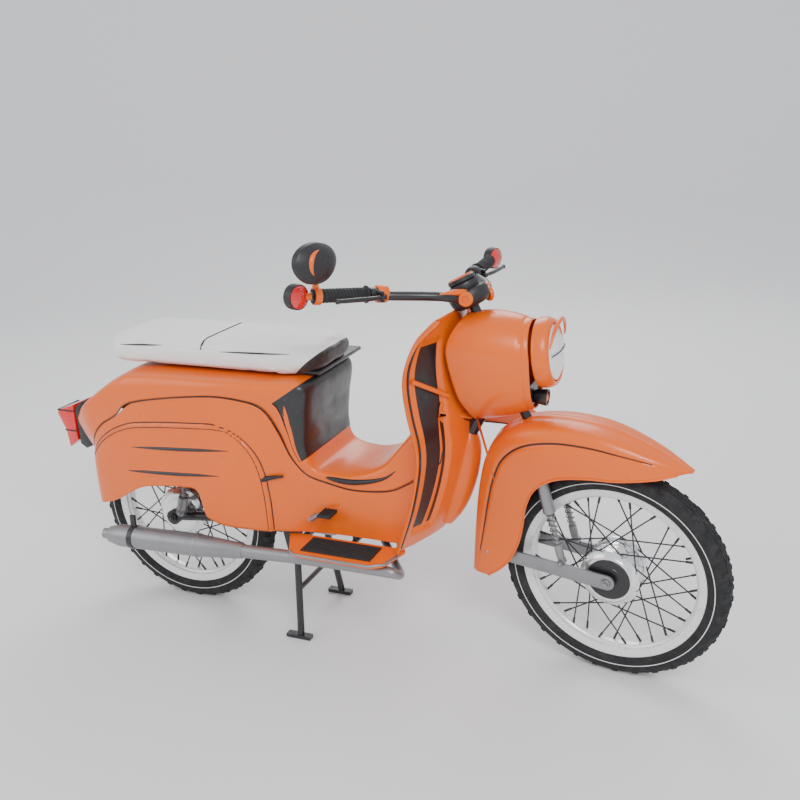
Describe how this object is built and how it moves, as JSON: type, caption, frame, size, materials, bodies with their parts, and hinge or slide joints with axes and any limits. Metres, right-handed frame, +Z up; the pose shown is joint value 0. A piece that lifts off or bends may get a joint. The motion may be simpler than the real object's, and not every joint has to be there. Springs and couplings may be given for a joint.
{
  "type": "moped scooter",
  "caption": "Step-through moped scooter with a leg shield, spoked wheels, leading-link fork, bench seat, swept handlebar and centre stand.",
  "frame": {"origin": "on the ground below the middle of the whole moped", "axes": "+X forward along the moped, +Y to its left, +Z up; the steering is parked a little to the right"},
  "size_m": [1.8596, 0.7985, 1.0851],
  "materials": {
    "body_paint": "gloss",
    "black_metal": "satin",
    "spokes": "satin",
    "tyre": "matte",
    "grip_rubber": "matte",
    "grey_metal": "satin",
    "cast_alloy": "as cast",
    "polished_alloy": "polished",
    "rim": "satin",
    "seat_cover": "matte",
    "red_lens": "gloss",
    "black_plastic": "matte",
    "glass": "clear"
  },
  "bodies": {
    "chassis": {"frame": "black_metal", "upper_body": "body_paint", "side_cover_right": "body_paint", "side_cover_left": "body_paint", "leg_shield": "body_paint", "front_cowl": "body_paint", "headlight_rim": "polished_alloy", "headlight_glass": "glass", "horn": "black_metal", "footboard_left": "body_paint", "footboard_right": "body_paint", "fuel_tank": "black_metal", "tail_light_housing": "black_plastic", "tail_light_lens": "red_lens", "crankcase": "cast_alloy", "cylinder": "cast_alloy", "carburettor": "cast_alloy", "exhaust_pipe": "grey_metal", "silencer": "grey_metal"},
    "steering": {"fork": "black_metal", "front_fender": "body_paint", "handlebar": "black_metal", "bar_cowl": "body_paint", "speedometer": "black_plastic", "grip_left": "grip_rubber", "indicator_left": "red_lens", "indicator_right": "red_lens", "mirror_stem": "black_metal"},
    "front_arm": {"front_link": "grey_metal", "front_brake_plate": "cast_alloy"},
    "front_wheel": {"front_tyre": "tyre", "front_rim": "rim", "front_hub": "polished_alloy", "front_spokes": "spokes"},
    "rear_arm": {"swing_arm": "black_metal", "rear_brake_plate": "cast_alloy", "chain_case": "black_metal"},
    "rear_wheel": {"rear_tyre": "tyre", "rear_rim": "rim", "rear_hub": "polished_alloy", "rear_spokes": "spokes", "rear_sprocket": "grey_metal"},
    "stand": {"centre_stand": "black_metal"},
    "seat": {"seat_pan": "black_metal", "seat_cushion": "seat_cover"},
    "kick_starter": {"kick_lever": "black_metal"},
    "gear_change": {"gear_pedal": "black_metal"},
    "foot_brake": {"brake_pedal": "black_metal"},
    "throttle": {"twist_grip": "grip_rubber"},
    "clutch_lever": {"lever_left": "black_metal"},
    "brake_lever": {"lever_right": "black_metal"},
    "mirror": {"mirror_head": "black_metal"},
    "front_cover_right": {"front_strut_cover_right": "grey_metal"},
    "front_slider_right": {"front_strut_slider_right": "grey_metal"},
    "front_cover_left": {"front_strut_cover_left": "grey_metal"},
    "front_slider_left": {"front_strut_slider_left": "grey_metal"},
    "rear_cover_right": {"rear_strut_cover_right": "black_metal"},
    "rear_slider_right": {"rear_strut_slider_right": "black_metal"},
    "rear_cover_left": {"rear_strut_cover_left": "black_metal"},
    "rear_slider_left": {"rear_strut_slider_left": "black_metal"}
  },
  "joints": [
    {"name": "steer", "type": "hinge", "parent": "chassis", "child": "steering", "pos_m": [0.365, -0.0393, 0.8], "axis": [-0.4384, 0, 0.8988], "range_deg": [-32, 32]},
    {"name": "front_arm_swing", "type": "hinge", "parent": "steering", "child": "front_arm", "pos_m": [0.36199, -0.00768, 0.29297], "axis": [-0.1251, -0.9903, -0.061], "range_deg": [-1, 8], "stiffness_Nm_per_rad": 900, "springref_deg": -1},
    {"name": "front_wheel_spin", "type": "hinge", "parent": "front_arm", "child": "front_wheel", "pos_m": [0.6597, -0.04399, 0.27186], "axis": [0.1251, 0.9903, 0.061], "continuous": true},
    {"name": "front_cover_swing_right", "type": "hinge", "parent": "steering", "child": "front_cover_right", "pos_m": [0.48142, -0.09142, 0.54679], "axis": [-0.1251, -0.9903, -0.061], "range_deg": [-15, 15]},
    {"name": "front_slider_right", "type": "slide", "parent": "front_cover_right", "child": "front_slider_right", "axis": [-0.2335, -0.0304, 0.9719], "range_m": [-0.02, 0.035]},
    {"name": "front_cover_swing_left", "type": "hinge", "parent": "steering", "child": "front_cover_left", "pos_m": [0.49456, 0.01256, 0.5532], "axis": [-0.1251, -0.9903, -0.061], "range_deg": [-15, 15]},
    {"name": "front_slider_left", "type": "slide", "parent": "front_cover_left", "child": "front_slider_left", "axis": [-0.2335, -0.0304, 0.9719], "range_m": [-0.02, 0.035]},
    {"name": "rear_arm_swing", "type": "hinge", "parent": "chassis", "child": "rear_arm", "pos_m": [-0.21, -0.0393, 0.302], "axis": [0, 1, 0], "range_deg": [-1, 7], "stiffness_Nm_per_rad": 1800, "springref_deg": -1},
    {"name": "rear_wheel_spin", "type": "hinge", "parent": "rear_arm", "child": "rear_wheel", "pos_m": [-0.54, -0.0393, 0.272], "axis": [0, 1, 0], "continuous": true},
    {"name": "rear_cover_swing_right", "type": "hinge", "parent": "chassis", "child": "rear_cover_right", "pos_m": [-0.43, -0.1313, 0.585], "axis": [0, 1, 0], "range_deg": [-15, 15]},
    {"name": "rear_slider_right", "type": "slide", "parent": "rear_cover_right", "child": "rear_slider_right", "axis": [0.2401, 0, 0.9707], "range_m": [-0.02, 0.055]},
    {"name": "rear_cover_swing_left", "type": "hinge", "parent": "chassis", "child": "rear_cover_left", "pos_m": [-0.43, 0.0527, 0.585], "axis": [0, 1, 0], "range_deg": [-15, 15]},
    {"name": "rear_slider_left", "type": "slide", "parent": "rear_cover_left", "child": "rear_slider_left", "axis": [0.2401, 0, 0.9707], "range_m": [-0.02, 0.055]},
    {"name": "stand_fold", "type": "hinge", "parent": "chassis", "child": "stand", "pos_m": [-0.155, -0.0393, 0.25], "axis": [0, 1, 0], "range_deg": [0, 74]},
    {"name": "seat_tilt", "type": "hinge", "parent": "chassis", "child": "seat", "pos_m": [-0.058, -0.0393, 0.724], "axis": [0, 1, 0], "range_deg": [0, 60]},
    {"name": "kick", "type": "hinge", "parent": "chassis", "child": "kick_starter", "pos_m": [-0.155, -0.0393, 0.372], "axis": [0, -1, 0], "range_deg": [0, 55], "stiffness_Nm_per_rad": 3},
    {"name": "gear_shift", "type": "hinge", "parent": "chassis", "child": "gear_change", "pos_m": [-0.03, -0.0393, 0.372], "axis": [0, 1, 0], "range_deg": [-9, 9], "stiffness_Nm_per_rad": 6},
    {"name": "brake_pedal_push", "type": "hinge", "parent": "chassis", "child": "foot_brake", "pos_m": [-0.068, -0.0393, 0.366], "axis": [0, 1, 0], "range_deg": [0, 14], "stiffness_Nm_per_rad": 6},
    {"name": "throttle_twist", "type": "hinge", "parent": "steering", "child": "throttle", "pos_m": [0.12143, -0.19267, 0.94692], "axis": [-0.6379, -0.7636, 0.0997], "range_deg": [0, 75], "stiffness_Nm_per_rad": 0.15},
    {"name": "clutch_pull", "type": "hinge", "parent": "steering", "child": "clutch_lever", "pos_m": [0.27658, 0.17481, 0.92556], "axis": [-0.0063, -0.0193, 0.9998], "range_deg": [0, 10], "stiffness_Nm_per_rad": 0.8},
    {"name": "brake_pull", "type": "hinge", "parent": "steering", "child": "brake_lever", "pos_m": [0.15742, -0.19194, 0.9424], "axis": [-0.0332, -0.1021, -0.9942], "range_deg": [0, 10], "stiffness_Nm_per_rad": 0.8},
    {"name": "mirror_tilt", "type": "hinge", "parent": "steering", "child": "mirror", "pos_m": [0.07283, -0.34131, 1.02722], "axis": [0.0135, 0.0415, 0.999], "range_deg": [-15, 15]}
  ],
  "couplings": [
    {"joint": "front_cover_swing_right", "follows": "front_arm_swing", "ratio": 0.1456},
    {"joint": "front_slider_right", "follows": "front_arm_swing", "m_per_rad": 0.18428},
    {"joint": "front_cover_swing_left", "follows": "front_arm_swing", "ratio": 0.1456},
    {"joint": "front_slider_left", "follows": "front_arm_swing", "m_per_rad": 0.18428},
    {"joint": "rear_cover_swing_right", "follows": "rear_arm_swing", "ratio": 0.2389},
    {"joint": "rear_slider_right", "follows": "rear_arm_swing", "m_per_rad": 0.28152},
    {"joint": "rear_cover_swing_left", "follows": "rear_arm_swing", "ratio": 0.2389},
    {"joint": "rear_slider_left", "follows": "rear_arm_swing", "m_per_rad": 0.28152}
  ]
}
